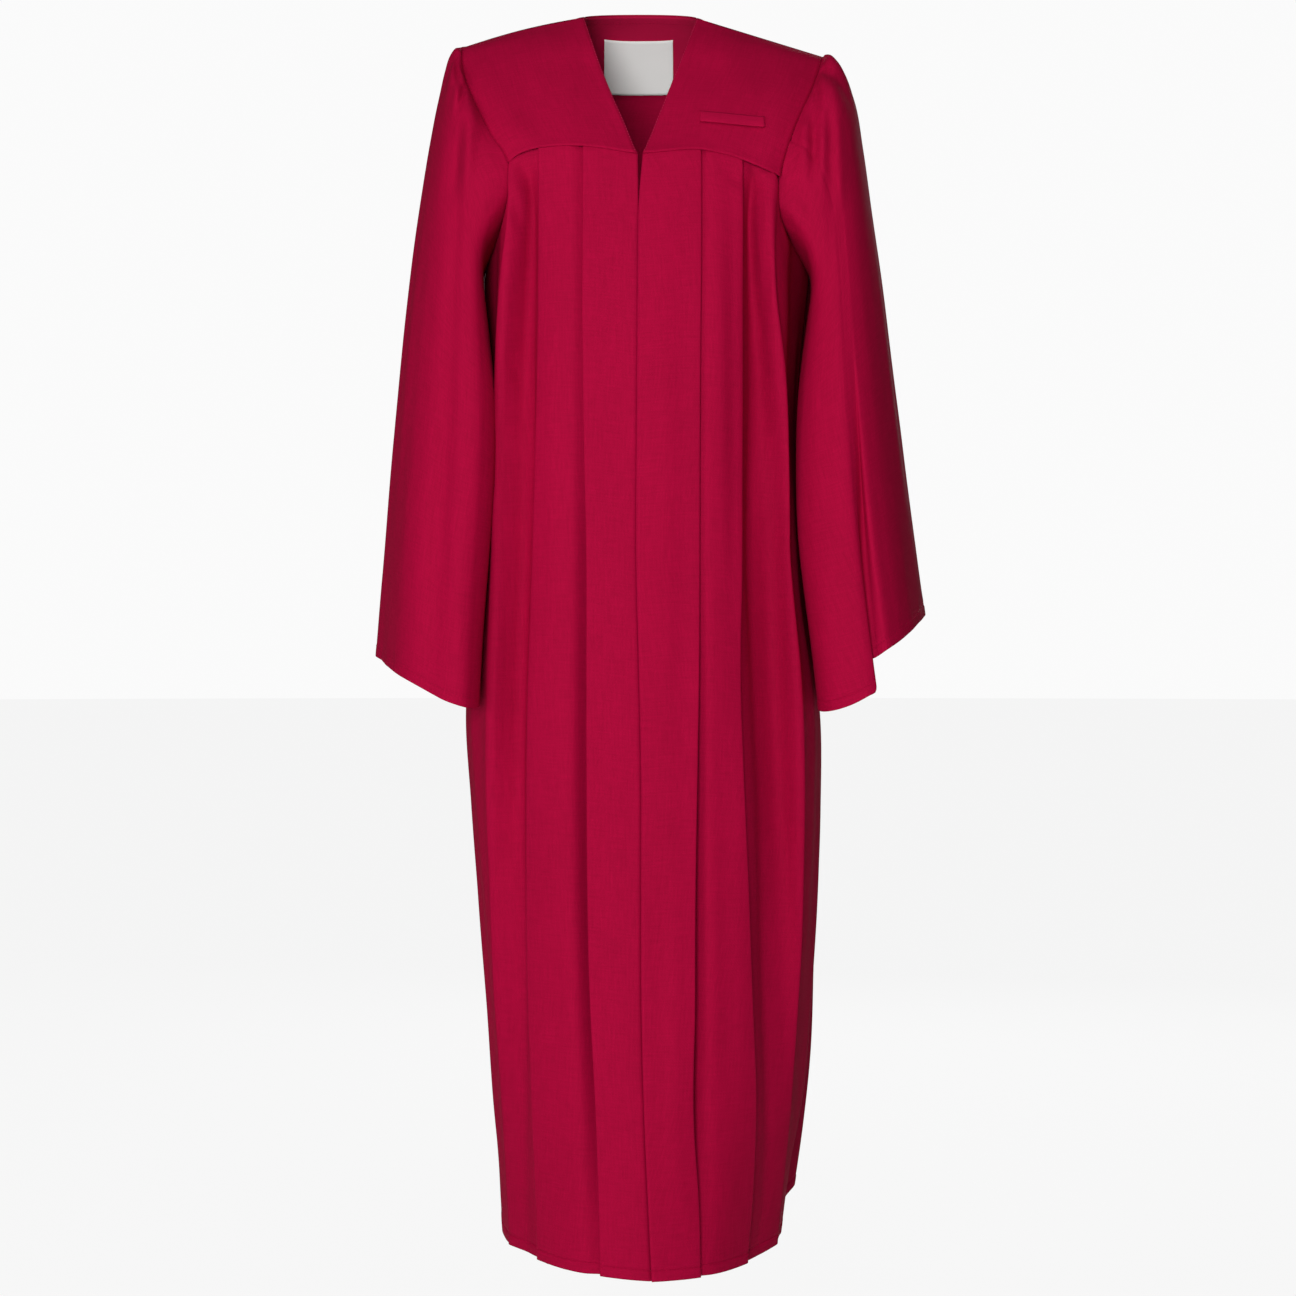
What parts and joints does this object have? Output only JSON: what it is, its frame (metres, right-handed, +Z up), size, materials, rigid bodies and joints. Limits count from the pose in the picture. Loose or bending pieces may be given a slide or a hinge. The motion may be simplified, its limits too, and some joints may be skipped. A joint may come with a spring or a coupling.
{
  "type": "graduation gown",
  "caption": "Full-length academic gown in the hollow form it has when worn: V neck, yokes, pleated open-hem front and wide bell sleeves.",
  "frame": {"origin": "midway between the two neck points, where the gown rests on the wearer's shoulders", "axes": "+Z up the body, the front faces -Y, the wearer's left is +X"},
  "size_m": [0.5627, 0.382, 1.2679],
  "materials": {
    "wine_cloth": "matte woven polyester",
    "wine_cloth_inside": "matte woven polyester",
    "label_white": "smooth woven tape"
  },
  "bodies": {
    "root": {"front_panel_right": "wine_cloth", "front_panel_left": "wine_cloth", "front_yoke_right": "wine_cloth", "front_yoke_left": "wine_cloth", "back_yoke": "wine_cloth", "back_panel": "wine_cloth", "sleeve_right": "wine_cloth", "sleeve_left": "wine_cloth", "pocket_welt": "wine_cloth", "back_neck_facing": "wine_cloth_inside", "neck_label": "label_white"}
  },
  "joints": []
}
